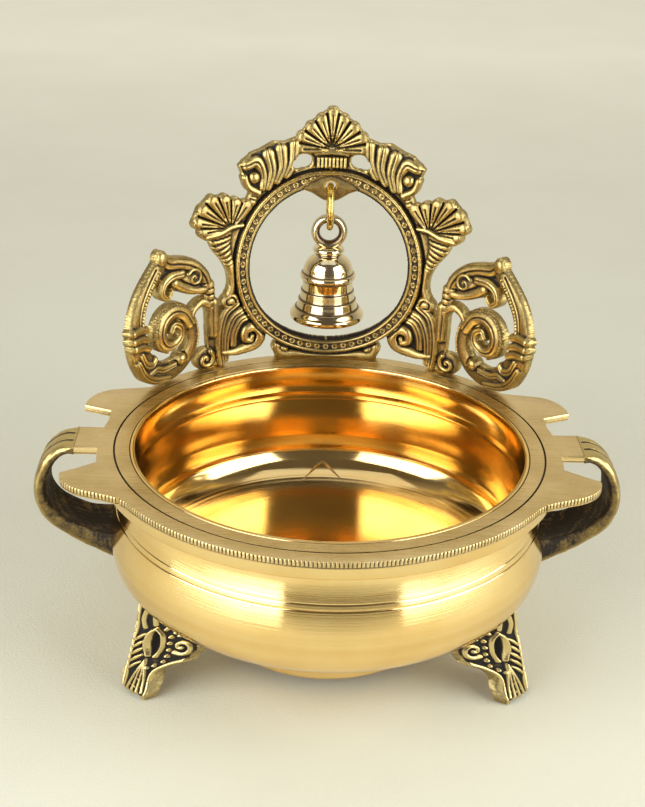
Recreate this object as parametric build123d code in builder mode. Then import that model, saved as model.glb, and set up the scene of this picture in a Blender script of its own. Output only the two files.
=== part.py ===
from build123d import *
import os
from math import cos, sin

# Brass urli: a footed turned bowl with an eared rim plate, two strap handles, and a
# cast openwork arch at the back from which a small bell hangs on a wire ring.
# Frame: +Z up, front at -Y, arch at +Y. The pieces are drawn round the bowl's axis and
# saved with the origin on the floor, midway between the front of the rim and the back
# of the bell. Lengths are millimetres. Names ending in _Z are heights above the floor,
# names ending in _H are heights above the rim.

os.makedirs("parts", exist_ok=True)

# ---- Driving dimensions: bowl and rim plate
RIM_Z = 91.0          # top face of the rim plate
MOUTH_R = 80.0        # opening of the bowl
LIP_R = 82.0          # the bowl's raised lip, which the rim plate fits around
PLATE_FIT = 0.15      # gap between the lip and the rim plate
PLATE_T = 3.0         # thickness of the rim plate
PLATE_R = 95.2        # round outer edge of the rim plate
GROOVE_R = 88.4       # turned groove in the plate's top face
GROOVE_W = 0.8
GROOVE_D = 0.6
SHOULDER_R = 94.4     # the bowl's own flange under the plate
FOOT_RING_R = 47.5
FOOT_RING_IN = 43.5
FOOT_RING_Z = 7.0     # underside of the foot ring: the three feet carry the bowl

# ---- Driving dimensions: feet and handles
FOOT_ANGLES = {"foot_front_left": 210, "foot_front_right": 330, "foot_rear": 90}
HANDLE_W = 19.6       # width of the strap, along Y
HANDLE_Y = 1.8        # middle of the strap
TAB_X = 104.5         # where the plate's tab ends and the strap begins

# ---- Driving dimensions: arch
ARCH_IN = 90.5        # concave front face of the arch, from the bowl's axis
ARCH_OUT = 96.5
ARCH_H = 117.0
WINDOW_R = 37.0       # round window in the arch
WINDOW_H = 46.0       # its centre above the rim
LUG_T = 4.0           # thickness of the lug that carries the bell ring
LUG_HOLE_R = 2.3
SCROLL_U = 83.0       # middle of a side scroll, measured round the rim from the back

# ---- Driving dimensions: bell, hung from its wire ring
BELL_Y = 93.5         # plane of the bell's axis: middle of the arch's thickness
RING_H = 72.9         # centre of the wire ring above the rim
RING_R = 9.5          # centreline radius of the wire ring
WIRE_R = 1.5
LOOP_T = 4.5          # thickness of the bell's loop, along Y
PIVOT_H = 43.0        # clapper pivot above the rim
STAPLE_R = 0.7        # wire of the staple inside the bell
STAPLE_HALF = 2.3     # half the staple's span, along Y
STAPLE_H = 47.0       # its legs end just inside the bell's crown
BALL_H = 20.5         # middle of the clapper's ball above the rim
BALL_R = 4.3
EYE_R = 2.3           # eye at the top of the clapper, round the staple
EYE_HOLE_R = 1.1
ROD_R = 1.1
BELL_R = 17.0         # outer radius of the bell's lip

# The bell stands out behind the rim, so the object's middle is behind the bowl's axis.
MIDDLE_Y = (BELL_Y + BELL_R - PLATE_R) / 2


def save(piece, node):
    """Put a finished piece in the object's frame, label it and write its STEP file."""
    piece = Pos(0, -MIDDLE_Y, 0) * piece
    piece.label = node
    export_step(piece, f"parts/{node}.step")


def rim(height):
    """Height above the floor of a point given above the rim."""
    return RIM_Z + height


# ---- Turned bowl -------------------------------------------------------------
# The outer section as a solid of its own: the handles and feet are cut to it.
with BuildPart() as bowl_core:
    with BuildSketch(Plane.XZ):
        with BuildLine():
            flange = Polyline(
                (0, rim(-3)), (SHOULDER_R, rim(-PLATE_T)), (SHOULDER_R, rim(-7.4)),
                (92.6, rim(-8.6)), (86.6, rim(-11)),
            )
            belly = Spline(
                flange @ 1, (86.2, rim(-16)), (88, rim(-25)), (90.6, rim(-34)), (91, rim(-39)),
                (89.3, rim(-48)), (84.8, rim(-54)), (78, rim(-58.7)), (66, rim(-65.6)),
                (56, rim(-69.2)), (48.5, rim(-71.4)),
            )
            Polyline(belly @ 1, (48.5, rim(-72.4)), (0, rim(-72.4)), (0, rim(-3)))
        make_face()
    revolve(axis=Axis.Z)

with BuildPart() as bowl:
    add(bowl_core.part)
    with BuildSketch(Plane.XZ):
        # raised lip
        with Locations(((MOUTH_R + LIP_R) / 2 - 1, rim(-PLATE_T / 2))):
            Rectangle(LIP_R - MOUTH_R + 2, PLATE_T)
        # foot ring
        with Locations(((FOOT_RING_R + FOOT_RING_IN) / 2, (rim(-71) + FOOT_RING_Z) / 2)):
            Rectangle(FOOT_RING_R - FOOT_RING_IN, rim(-71) - FOOT_RING_Z)
    revolve(axis=Axis.Z)
    # inside: a straight lip wall, two turned ledges, then the rounded well
    with BuildSketch(Plane.XZ):
        with BuildLine():
            ledges = Polyline(
                (0, rim(1)), (MOUTH_R, rim(1)), (MOUTH_R, rim(-12.2)), (81.4, rim(-13)),
                (81.4, rim(-16.2)), (82.6, rim(-17)),
            )
            well = Spline(
                ledges @ 1, (84.6, rim(-24)), (87.2, rim(-34)), (87.4, rim(-40)), (84.6, rim(-48.5)),
                (77, rim(-55.4)), (63, rim(-61.6)), (40, rim(-65.2)), (0, rim(-66)),
                tangents=((0.4, -1), (-1, 0)),
            )
            Line(well @ 1, (0, rim(1)))
        make_face()
    revolve(axis=Axis.Z, mode=Mode.SUBTRACT)
save(bowl.part, "bowl")

# ---- Rim plate with its six ears ---------------------------------------------
with BuildPart() as rim_flange:
    with BuildSketch(Plane.XY.offset(rim(-PLATE_T))) as plate:
        Circle(PLATE_R)
        with BuildSketch(mode=Mode.PRIVATE) as ears:
            with BuildLine():
                back_edge = Spline((78.3, 53.8), (89.2, 51.5), (97.7, 48.7), (102.7, 42.9), (105, 33.1))
                middle = Polyline(
                    back_edge @ 1, (93.3, 28), (93.3, HANDLE_Y + HANDLE_W / 2),
                    (TAB_X, HANDLE_Y + HANDLE_W / 2), (TAB_X, HANDLE_Y - HANDLE_W / 2),
                    (95, HANDLE_Y - HANDLE_W / 2), (93.9, -20.1),
                )
                inner_edge = ThreePointArc(middle @ 1, (99.6, -24.6), (107, -29.7))
                front_edge = Spline(
                    inner_edge @ 1, (105.9, -35.4), (99.6, -42.7), (91.8, -46.2), (81.5, -51.1),
                )
                Polyline(front_edge @ 1, (70, 0), back_edge @ 0)
            make_face()
        add(ears.sketch)
        mirror(ears.sketch, about=Plane.YZ)
        Circle(LIP_R + PLATE_FIT, mode=Mode.SUBTRACT)
    extrude(amount=PLATE_T)
    with BuildSketch(Plane.XY.offset(rim(-GROOVE_D))):
        Circle(GROOVE_R + GROOVE_W / 2)
        Circle(GROOVE_R - GROOVE_W / 2, mode=Mode.SUBTRACT)
    extrude(amount=GROOVE_D, mode=Mode.SUBTRACT)
save(rim_flange.part, "rim_flange")

# ---- Strap handles -----------------------------------------------------------
# Side view of one strap: it leaves the tab level, turns down and runs back to the belly.
with BuildPart() as handle_right:
    with BuildSketch(Plane.XZ.offset(-HANDLE_Y)):
        with BuildLine():
            outside = Spline(
                (TAB_X, rim(0)), (110.5, rim(-1)), (117.5, rim(-7)), (121.8, rim(-17)),
                (121.6, rim(-26)), (117, rim(-34.5)), (106, rim(-42)), (89, rim(-52)),
                tangents=((1, 0), (-1, -0.9)),
            )
            inside = Spline(
                (89, rim(-37)), (103, rim(-35)), (113, rim(-29.5)), (117.4, rim(-23)),
                (117.6, rim(-16)), (113.6, rim(-8.5)), (109, rim(-4.6)), (TAB_X, rim(-3.6)),
                tangents=((1, 0), (-1, 0.1)),
            )
            Line(outside @ 1, inside @ 0)
            Line(inside @ 1, outside @ 0)
        make_face()
    extrude(amount=HANDLE_W / 2, both=True)
    add(bowl_core.part, mode=Mode.SUBTRACT)
save(handle_right.part, "handle_right")

handle_left = mirror(handle_right.part, about=Plane.YZ)
save(handle_left, "handle_left")

# ---- Three leaf feet ---------------------------------------------------------
# One foot stands on the +X side: (height, middle radius, radial size, width) of each section.
FOOT_SECTIONS = [
    (0, 87, 16, 19), (9, 86, 15, 15), (17, 80.5, 21, 18), (26, 76, 26, 24), (42, 75, 26, 26),
]
with BuildPart() as foot:
    for height, radius, depth, width in FOOT_SECTIONS:
        with BuildSketch(Plane.XY.offset(height)):
            with Locations((radius, 0)):
                RectangleRounded(depth, width, 3)
    loft(ruled=True)
    add(bowl_core.part, mode=Mode.SUBTRACT)
for node, angle in FOOT_ANGLES.items():
    save(Rot(0, 0, angle) * foot.part, node)

# ---- Arch --------------------------------------------------------------------
# Every casting of the arch is cut out of one curved wall that follows the rim.
with BuildPart() as arch_wall:
    with BuildSketch(Plane.XY.offset(RIM_Z)):
        Circle(ARCH_OUT)
        Circle(ARCH_IN, mode=Mode.SUBTRACT)
    extrude(amount=ARCH_H + 1)


def chord(arc):
    """Distance sideways of a point that lies an arc's length round the front face."""
    return ARCH_IN * sin(arc / ARCH_IN)


FRAME_OUTLINE = [
    (0, 0), (24, 0), (23, 4), (26, 9.5), (28.5, 3), (33, 0), (50, 0), (50, 28), (45.5, 33),
    (45, 42), (49, 51), (54, 60), (62.5, 64), (64.3, 72), (57, 80), (47, 77.5), (37, 77),
    (34.5, 83), (39, 88), (40, 92.5), (31, 100.5), (23, 102.5), (15, 105.5), (6, 113.7),
    (0, ARCH_H),
]
with BuildPart() as arch_frame:
    with BuildSketch(Plane.XZ.offset(-ARCH_OUT - 1)):
        with BuildLine():
            Polyline([(chord(u), rim(v)) for u, v in FRAME_OUTLINE])
            mirror(about=Plane.YZ)
        make_face()
        with Locations((0, rim(WINDOW_H))):
            Ellipse(chord(WINDOW_R), WINDOW_R, mode=Mode.SUBTRACT)
        with Locations((chord(12.2), rim(95)), (-chord(12.2), rim(95))):
            Circle(3.8, mode=Mode.SUBTRACT)
    extrude(amount=45)
    add(arch_wall.part, mode=Mode.INTERSECT)
    # flat lug hanging into the top of the window, drilled for the bell ring
    with BuildSketch(Plane.XZ.offset(-BELL_Y - LUG_T / 2)):
        with BuildLine():
            Polyline(
                (-10, rim(81)), (-10, rim(85)), (10, rim(85)), (10, rim(81)), (3, rim(76.6)),
                (-3, rim(76.6)), close=True,
            )
        make_face()
        with Locations((0, rim(RING_H + RING_R + 0.3))):
            Circle(LUG_HOLE_R, mode=Mode.SUBTRACT)
    extrude(amount=LUG_T)
    with Locations(Plane.XZ.offset(-ARCH_OUT)):
        with Locations((0, rim(RING_H + RING_R + 0.3))):
            Cylinder(LUG_HOLE_R, 30, mode=Mode.SUBTRACT)
save(arch_frame.part, "arch_frame")


def band_sides(path):
    """Points along the two sides of a band, given its (u, v, half width) points."""
    spine = [Vector(u - SCROLL_U, rim(v)) for u, v, _ in path]
    left, right = [], []
    for i, (_, _, half) in enumerate(path):
        ahead = spine[min(i + 1, len(spine) - 1)] - spine[max(i - 1, 0)]
        side = Vector(-ahead.Y, ahead.X).normalized() * half
        left.append(spine[i] + side)
        right.append(spine[i] - side)
    return left, right


# One side scroll: (arc round the rim, height above it, half width) along each member.
SCROLL_BODY = [
    (84, 57.5, 3), (92, 49.5, 3.5), (99, 42, 4.5), (102.5, 33, 5), (101.5, 24, 6), (97, 15, 6),
    (90, 7.5, 5), (81.5, 4, 4), (73, 6, 3.5), (67, 11, 2.5), (65, 18.5, 2), (67, 25.5, 2),
    (71.5, 30.5, 2.5),
]
SCROLL_BROW = [(58, 41, 4), (61.5, 47, 4), (67, 51.5, 4), (75, 54, 3.5), (84, 58, 3.5)]
SCROLL_NECK = [(58, 42, 4), (57, 36, 2.5), (57, 29, 2.5)]
SCROLL_BRANCH = [(57, 31, 2.5), (61.5, 32.5, 2), (66, 28.5, 2)]
SCROLL_CURL = [(74, 46, 4), (80, 46, 2.5), (83.5, 43.5, 2.5), (80, 41, 2.5)]
SCROLL_AZIMUTH = SCROLL_U / ARCH_IN
scroll_plane = Plane(
    origin=(120 * sin(SCROLL_AZIMUTH), 120 * cos(SCROLL_AZIMUTH), 0),
    x_dir=(cos(SCROLL_AZIMUTH), -sin(SCROLL_AZIMUTH), 0),
    z_dir=(-sin(SCROLL_AZIMUTH), -cos(SCROLL_AZIMUTH), 0),
)
with BuildPart() as scroll_right:
    with BuildSketch(scroll_plane):
        for member in (SCROLL_BODY, SCROLL_BROW, SCROLL_NECK, SCROLL_BRANCH, SCROLL_CURL):
            left, right = band_sides(member)
            with BuildLine():
                near = Spline(left)
                far = Spline(right)
                Line(near @ 0, far @ 0)
                Line(near @ 1, far @ 1)
            make_face()
        # spiral boss, beast's head, upright bar and the small scroll at its foot
        with Locations((77.5 - SCROLL_U, rim(25))):
            Ellipse(7.5, 8.5)
        with Locations((66.5 - SCROLL_U, rim(45.5))):
            Ellipse(9.5, 6.5)
        with Locations((54.5 - SCROLL_U, rim(15.5))):
            Rectangle(6, 31)
        with Locations((59.5 - SCROLL_U, rim(5.5))):
            Circle(5.5)
    extrude(amount=60)
    add(arch_wall.part, mode=Mode.INTERSECT)
save(scroll_right.part, "scroll_right")

scroll_left = mirror(scroll_right.part, about=Plane.YZ)
save(scroll_left, "scroll_left")

# ---- Wire ring between the arch and the bell ---------------------------------
with BuildPart() as bell_ring:
    with Locations(Plane(origin=(0, BELL_Y, rim(RING_H)), z_dir=(1, 0, 0))):
        Torus(RING_R, WIRE_R)
save(bell_ring.part, "bell_ring")

# ---- Bell --------------------------------------------------------------------
bell_axis = Axis((0, BELL_Y, 0), (0, 0, 1))
bell_plane = Plane(origin=(0, BELL_Y, 0), x_dir=(1, 0, 0), z_dir=(0, -1, 0))
with BuildPart() as bell:
    with BuildSketch(bell_plane):
        with BuildLine():
            Polyline(
                (0, rim(54)), (5.8, rim(54)), (6.7, rim(52.8)), (6.7, rim(51.6)), (5.6, rim(50.6)),
                (6.4, rim(49.6)), (9, rim(47.2)), (10.6, rim(43.8)), (11, rim(41.2)),
                (11.9, rim(40.8)), (11.9, rim(38.4)), (11.1, rim(38)), (11.4, rim(33)),
                (12.1, rim(29)), (13.2, rim(25.6)), (BELL_R, rim(22)), (BELL_R, rim(20)),
                (15.4, rim(20)),
                (12.4, rim(24)), (10.8, rim(27.5)), (9.9, rim(31.5)), (9.3, rim(38)),
                (8.6, rim(43)), (6, rim(46)), (0, rim(47.2)), close=True,
            )
        make_face()
    revolve(axis=bell_axis)
    # upright loop, with a tall eye for the wire ring
    with BuildSketch(bell_plane):
        with Locations((0, rim(61.5))):
            Circle(7.5)
        with Locations((0, rim(57))):
            Rectangle(12.4, 8)
        with Locations((0, rim(60.6))):
            SlotCenterToCenter(2.4, 7.8, rotation=90, mode=Mode.SUBTRACT)
    extrude(amount=LOOP_T / 2, both=True)
save(bell.part, "bell")

# ---- Staple inside the bell's crown ------------------------------------------
with BuildPart() as clapper_staple:
    with BuildLine() as staple_path:
        FilletPolyline(
            (0, BELL_Y - STAPLE_HALF, rim(STAPLE_H)), (0, BELL_Y - STAPLE_HALF, rim(PIVOT_H)),
            (0, BELL_Y + STAPLE_HALF, rim(PIVOT_H)), (0, BELL_Y + STAPLE_HALF, rim(STAPLE_H)),
            radius=0.8,
        )
    with BuildSketch(Plane(origin=staple_path.line @ 0, z_dir=staple_path.line % 0)):
        Circle(STAPLE_R)
    sweep()
save(clapper_staple.part, "clapper_staple")

# ---- Clapper: an eye on the staple, a rod and a ball -------------------------
with BuildPart() as clapper:
    with BuildSketch(bell_plane):
        with Locations((0, rim(PIVOT_H))):
            Circle(EYE_R)
            Circle(EYE_HOLE_R, mode=Mode.SUBTRACT)
    extrude(amount=0.8, both=True)
    with BuildSketch(bell_plane):
        rod_top = PIVOT_H - EYE_HOLE_R - 0.5
        with Locations((ROD_R / 2, rim((rod_top + BALL_H) / 2))):
            Rectangle(ROD_R, rod_top - BALL_H)
    revolve(axis=bell_axis)
    with Locations((0, BELL_Y, rim(BALL_H))):
        Sphere(BALL_R)
save(clapper.part, "clapper")
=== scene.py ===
"""Brass urli bowl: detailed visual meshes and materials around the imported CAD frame.

Shapes are drawn in millimetres in the rim frame: origin on the bowl's axis at the height of the
rim plate's top face, front at -Y, arch at +Y. place() puts them in the row frame, in metres.
The castings of the arch are drawn unrolled: u runs round the rim from the back, v upwards.
"""
from math import cos, pi, radians, sin, tau

import bpy
import numpy as np
from mathutils import Matrix, Vector


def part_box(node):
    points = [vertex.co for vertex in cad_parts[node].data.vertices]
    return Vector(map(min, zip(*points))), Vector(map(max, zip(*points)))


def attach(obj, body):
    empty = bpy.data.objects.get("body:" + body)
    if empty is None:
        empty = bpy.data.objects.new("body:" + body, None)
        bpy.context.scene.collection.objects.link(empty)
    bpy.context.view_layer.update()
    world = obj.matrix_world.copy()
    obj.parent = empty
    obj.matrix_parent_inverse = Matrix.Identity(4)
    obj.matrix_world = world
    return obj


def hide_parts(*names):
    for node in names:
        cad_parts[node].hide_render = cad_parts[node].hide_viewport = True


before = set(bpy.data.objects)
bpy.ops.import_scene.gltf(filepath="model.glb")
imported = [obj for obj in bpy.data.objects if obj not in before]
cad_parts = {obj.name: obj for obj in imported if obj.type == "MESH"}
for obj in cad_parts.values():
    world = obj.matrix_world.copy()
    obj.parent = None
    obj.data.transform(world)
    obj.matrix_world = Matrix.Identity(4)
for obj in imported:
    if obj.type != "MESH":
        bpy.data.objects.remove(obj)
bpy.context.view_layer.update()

MM = 0.001


def box_mm(node):
    """Lowest and highest corners of a CAD node, in millimetres of the row frame."""
    low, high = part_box(node)
    return np.array(low) / MM, np.array(high) / MM


# ---- Driving positions, taken from the frame
bowl_low, bowl_high = box_mm("bowl")
plate_low, plate_high = box_mm("rim_flange")
ring_low, ring_high = box_mm("bell_ring")
bell_low, bell_high = box_mm("bell")
handle_low, handle_high = box_mm("handle_right")
_, frame_high = box_mm("arch_frame")
RIM_Z = plate_high[2]
AXIS_Y = (bowl_low[1] + bowl_high[1]) / 2
PLATE_R = (plate_high[1] - plate_low[1]) / 2
PLATE_T = plate_high[2] - plate_low[2]
SHOULDER_R = (bowl_high[0] - bowl_low[0]) / 2
FOOT_RING_H = bowl_low[2] - RIM_Z
BELL_Y = (bell_low[1] + bell_high[1]) / 2 - AXIS_Y
BELL_R = (bell_high[0] - bell_low[0]) / 2
RING_H = (ring_low[2] + ring_high[2]) / 2 - RIM_Z
WIRE_R = (ring_high[0] - ring_low[0]) / 2
RING_R = (ring_high[2] - ring_low[2]) / 2 - WIRE_R
HANDLE_Y = (handle_low[1] + handle_high[1]) / 2 - AXIS_Y
HANDLE_W = handle_high[1] - handle_low[1]
ARCH_OUT = frame_high[1] - AXIS_Y
ARCH_MID = ARCH_OUT - 3.0
UNROLL_R = ARCH_MID - 1.5        # radius at which u is measured
FLOOR_H = -RIM_Z

LIP_R, MOUTH_R, PLATE_GAP = 82.0, 80.0, 0.15
TAB_X = 104.5                    # where the plate's tab ends and the strap begins
GROOVE_R, GROOVE_HALF, GROOVE_D = 88.4, 0.4, 0.6
WINDOW_V, WINDOW_R, BAND_R = 46.0, 37.0, 43.8
LUG_HOLE = (0.0, RING_H + RING_R + 0.3, 2.3)
BEAD_R, BEADS = 40.6, 62
LOOP_H = 61.1                    # middle of the bell's loop above the rim plate
ARCH_BACK, SCROLL_BACK, FOOT_BACK = 2.1, 2.3, 3.4   # thickness behind a casting's middle
SOFTBOX_AWAY, SOFTBOX_H = 0.6, 0.42                 # metres


# ---- Mesh tools ---------------------------------------------------------------
def place(points):
    """Rim-frame millimetres to row-frame metres."""
    return (np.asarray(points, float) + (0, AXIS_Y, RIM_Z)) * MM


def make_piece(name, points, faces, material, body, slot, nodes, sharp=35, cavity=None):
    """Mesh object from rim-frame points; it rides a body and stands for the named CAD nodes."""
    mesh = bpy.data.meshes.new(name)
    mesh.from_pydata(place(points).tolist(), [], [list(map(int, f)) for f in faces])
    mesh.validate()
    mesh.shade_smooth()
    mesh.set_sharp_from_angle(angle=radians(sharp))
    if cavity is not None:
        layer = mesh.attributes.new("cavity", "FLOAT", "POINT")
        layer.data.foreach_set("value", np.asarray(cavity, np.float32))
    piece = bpy.data.objects.new(name, mesh)
    bpy.context.scene.collection.objects.link(piece)
    mesh.materials.append(material)
    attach(piece, body)
    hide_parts(*nodes)
    return piece


def smooth_path(points, per_span=12):
    """Catmull-Rom curve through the control points, any number of columns."""
    p = np.asarray(points, float)
    p = np.vstack([2 * p[0] - p[1], p, 2 * p[-1] - p[-2]])
    t = np.linspace(0, 1, per_span, endpoint=False)[:, None]
    spans = []
    for a, b, c, d in zip(p[:-3], p[1:-2], p[2:-1], p[3:]):
        spans.append(0.5 * (2 * b + (c - a) * t + (2 * a - 5 * b + 4 * c - d) * t ** 2
                            + (3 * b - a - 3 * c + d) * t ** 3))
    return np.vstack(spans + [p[-2:-1]])


def grid_faces(rows, columns, close_rows=False):
    """Quads of a rows x columns grid of points numbered row by row; each row closes on itself."""
    r = np.arange(rows if close_rows else rows - 1)
    c = np.arange(columns)
    r0, c0 = np.meshgrid(r, c, indexing="ij")
    r1, c1 = (r0 + 1) % rows, (c0 + 1) % columns
    quads = [r0 * columns + c0, r0 * columns + c1, r1 * columns + c1, r1 * columns + c0]
    return np.stack(quads, -1).reshape(-1, 4)


def lathe(profile, segments, centre=(0, 0)):
    """Turned solid from an open (radius, height) profile whose two ends lie on the axis."""
    profile = np.asarray(profile, float)
    turned = profile[1:-1]
    angle = np.arange(segments) * tau / segments
    x = turned[:, :1] * np.cos(angle) + centre[0]
    y = turned[:, :1] * np.sin(angle) + centre[1]
    z = np.repeat(turned[:, 1:], segments, axis=1)
    points = np.stack([x, y, z], -1).reshape(-1, 3)
    poles = [(centre[0], centre[1], profile[0, 1]), (centre[0], centre[1], profile[-1, 1])]
    faces = grid_faces(len(turned), segments).tolist()
    first, last, top = len(points), len(points) + 1, (len(turned) - 1) * segments
    for i in range(segments):
        j = (i + 1) % segments
        faces.append([first, j, i])
        faces.append([last, top + i, top + j])
    return np.vstack([points, poles]), faces


# ---- Relief: a height field over an outline, bent into place --------------------
class Relief:
    """Cast relief on a (u, v) grid: `edge` is the signed distance inside the outline,
    `height` the front face above the middle of the casting."""

    def __init__(self, u_range, v_range, step):
        self.step = step
        self.u, self.v = np.meshgrid(np.arange(*u_range, step), np.arange(*v_range, step),
                                     indexing="ij")
        self.edge = np.full(self.u.shape, -50.0)
        self.height = np.zeros(self.u.shape)

    def near(self, points, margin):
        """Slices of the grid within a margin of some points."""
        out = []
        for axis, coords in ((0, self.u[:, 0]), (1, self.v[0])):
            low, high = points[:, axis].min() - margin, points[:, axis].max() + margin
            out.append(slice(np.searchsorted(coords, low), np.searchsorted(coords, high)))
        return tuple(out)

    def track(self, path, margin):
        """Grid window near a path, with the distance to it and the nearest sample's number."""
        window = self.near(path[:, :2], margin)
        u, v = self.u[window], self.v[window]
        best, nearest = np.full(u.shape, 1e9), np.zeros(u.shape, int)
        for i, (pu, pv) in enumerate(path[:, :2]):
            d = (u - pu) ** 2 + (v - pv) ** 2
            closer = d < best
            best[closer], nearest[closer] = d[closer], i
        return window, np.sqrt(best), nearest

    def stroke(self, points, top=2.0, crown=1.2, grooves=(), ribs=None, groove_depth=0.7):
        """Raised band through (u, v, half width) points, rounded across. `grooves` are places
        from -1 to 1 across it, `ribs` is (pitch, depth, start, end) along it as shares."""
        path = smooth_path(points, 14)
        window, far, i = self.track(path, path[:, 2].max() + 1.0)
        ahead = np.gradient(path[:, :2], axis=0)
        ahead /= np.linalg.norm(ahead, axis=1)[:, None] + 1e-9
        along = np.concatenate([[0], np.cumsum(np.hypot(*np.diff(path[:, :2], axis=0).T))])
        half = path[i, 2]
        du, dv = self.u[window] - path[i, 0], self.v[window] - path[i, 1]
        across = (ahead[i, 0] * dv - ahead[i, 1] * du) / half
        x = np.clip(far / half, 0, 1)
        h = top + crown * (np.sqrt(1 - 0.98 * x * x) - 0.14)
        for g in grooves:
            h -= groove_depth * np.exp(-((across - g) * half / 0.42) ** 2)
        if ribs:
            pitch, depth, start, end = ribs
            share = along[i] / along[-1]
            inside = (share > start) & (share < end)
            h -= inside * depth * np.exp(-(((along[i] / pitch) % 1 - 0.5) * pitch / 0.38) ** 2)
        self.lay(window, half - far, h)

    def lay(self, window, edge, h):
        """Unite a shape with what is there: the higher of the two shows."""
        inside = edge > -0.4
        height = self.height[window]
        height[inside] = np.maximum(height[inside], h[inside] - 1.5 * np.clip(-edge[inside], 0, 1))
        self.edge[window] = np.maximum(self.edge[window], edge)

    def sheet(self, outline, top):
        """Flat ground inside a polygon."""
        poly = np.asarray(outline, float)
        window = self.near(poly, 1.0)
        edge = polygon_distance(self.u[window], self.v[window], poly)
        self.lay(window, edge, np.full(edge.shape, float(top)))

    def boss(self, centre, radii, top, crown):
        """Rounded oval knob."""
        window = self.near(np.array([centre]), max(radii) + 1)
        q = np.hypot((self.u[window] - centre[0]) / radii[0], (self.v[window] - centre[1]) / radii[1])
        h = top + crown * np.sqrt(np.clip(1 - q * q, 0, 1))
        self.lay(window, (1 - q) * min(radii), h)

    def cut(self, centre, radii):
        """Oval opening right through."""
        q = np.hypot((self.u - centre[0]) / radii[0], (self.v - centre[1]) / radii[1])
        self.edge = np.minimum(self.edge, (q - 1) * min(radii))

    def engrave(self, points, depth=0.8, width=0.45):
        """Narrow groove along a curve."""
        path = smooth_path(points, 14)
        window, far, _ = self.track(path, 4 * width)
        self.height[window] -= depth * np.exp(-(far / width) ** 2)

    def hollow(self, centre, radii, depth):
        """Smooth oval dip that doesn't go through."""
        q = np.hypot((self.u - centre[0]) / radii[0], (self.v - centre[1]) / radii[1])
        self.height -= depth * np.exp(-np.minimum(q, 3) ** 4)

    def cavity(self):
        """How far each point lies below (negative) or above its surroundings."""
        weight = (self.edge > 0).astype(float)
        total, share = self.height * weight, weight
        for _ in range(3):
            total, share = (box_blur(a, max(1, round(0.8 / self.step))) for a in (total, share))
        return self.height - total / np.maximum(share, 1e-3)

    def solid(self, bend, back, round_r=0.9):
        """Closed mesh: (points, faces, cavity). bend(u, v, h) gives the place in the rim frame."""
        edge = np.where(np.abs(self.edge) < 1e-4, 1e-4, self.edge)
        edge[0], edge[-1], edge[:, 0], edge[:, -1] = -1, -1, -1, -1
        inside = edge > 0
        rounding = 1 - np.sqrt(np.clip(1 - (1 - np.clip(edge / round_r, 0, 1)) ** 2, 0, 1))
        front = self.height - rounding * np.minimum(self.height + 0.4 * back, 1.3)
        behind = -(np.full(front.shape, float(back)) - 0.7 * rounding)
        cavity = np.clip(self.cavity(), -2, 2)
        rubbed = np.where(edge < 0.6, np.maximum(cavity, 0.15), cavity)
        fields = [self.u, self.v, front, behind, rubbed]

        rows, columns = edge.shape
        number = np.arange(edge.size).reshape(edge.shape)
        values = [f.ravel() for f in fields]
        crossings = []
        for axis in (0, 1):
            a = number[:-1] if axis == 0 else number[:, :-1]
            b = number[1:] if axis == 0 else number[:, 1:]
            ea, eb = edge.ravel()[a], edge.ravel()[b]
            inner_a = ea > 0
            t = np.clip(np.where(inner_a != (eb > 0), ea / (ea - eb + 1e-12), 0), 0.04, 0.96)
            mixed = [values[k][a] + (values[k][b] - values[k][a]) * t for k in (0, 1)]
            mixed += [np.where(inner_a, values[k][a], values[k][b]) for k in (2, 3, 4)]
            crossings.append(mixed)
        start_h = edge.size
        start_v = start_h + crossings[0][0].size
        for k in range(5):
            values[k] = np.concatenate([values[k], crossings[0][k].ravel(), crossings[1][k].ravel()])
        h_edge = start_h + np.arange((rows - 1) * columns).reshape(rows - 1, columns)
        v_edge = start_v + np.arange(rows * (columns - 1)).reshape(rows, columns - 1)

        # the eight places of one cell: four corners, then the four sides, anticlockwise
        cell = [number[:-1, :-1], number[1:, :-1], number[1:, 1:], number[:-1, 1:],
                h_edge[:, :-1], v_edge[1:], h_edge[:, 1:], v_edge[:-1]]
        corner_in = [inside[:-1, :-1], inside[1:, :-1], inside[1:, 1:], inside[:-1, 1:]]
        case = sum(c.astype(int) << k for k, c in enumerate(corner_in))
        front_faces, walls = [], []
        for code in range(1, 16):
            ring = []
            for k in range(4):
                here, after = code >> k & 1, code >> (k + 1) % 4 & 1
                ring += [k] if here else []
                ring += [4 + k] if here != after else []
            cells = case == code
            if not cells.any():
                continue
            picked = np.stack([cell[k][cells] for k in ring], -1)
            front_faces.append(picked)
            for j, k in enumerate(ring):
                after = (j + 1) % len(ring)
                if k >= 4 and ring[after] >= 4:
                    walls.append(picked[:, [j, after]])
        used = np.unique(np.concatenate([f.ravel() for f in front_faces]))
        renumber = np.full(len(values[0]), -1)
        renumber[used] = np.arange(len(used))
        u, v, front, behind, hollow = (x[used] for x in values)
        count = len(used)
        faces = []
        for f in front_faces:
            f = renumber[f]
            faces += f[:, ::-1].tolist()
            faces += (f + count).tolist()
        wall = renumber[np.vstack(walls)]
        faces += np.stack([wall[:, 0], wall[:, 1], wall[:, 1] + count, wall[:, 0] + count], -1).tolist()
        points = np.vstack([bend(u, v, front), bend(u, v, behind)])
        return points, faces, np.concatenate([hollow, np.full(count, 0.12)])


def box_blur(field, reach):
    """Mean over a square of 2 * reach + 1 samples."""
    for axis in (0, 1):
        pad = [(0, 0), (0, 0)]
        pad[axis] = (reach + 1, reach)
        total = np.cumsum(np.pad(field, pad, mode="edge"), axis=axis)
        size = field.shape[axis]
        high = np.take(total, np.arange(2 * reach + 1, 2 * reach + 1 + size), axis=axis)
        low = np.take(total, np.arange(size), axis=axis)
        field = (high - low) / (2 * reach + 1)
    return field


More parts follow.
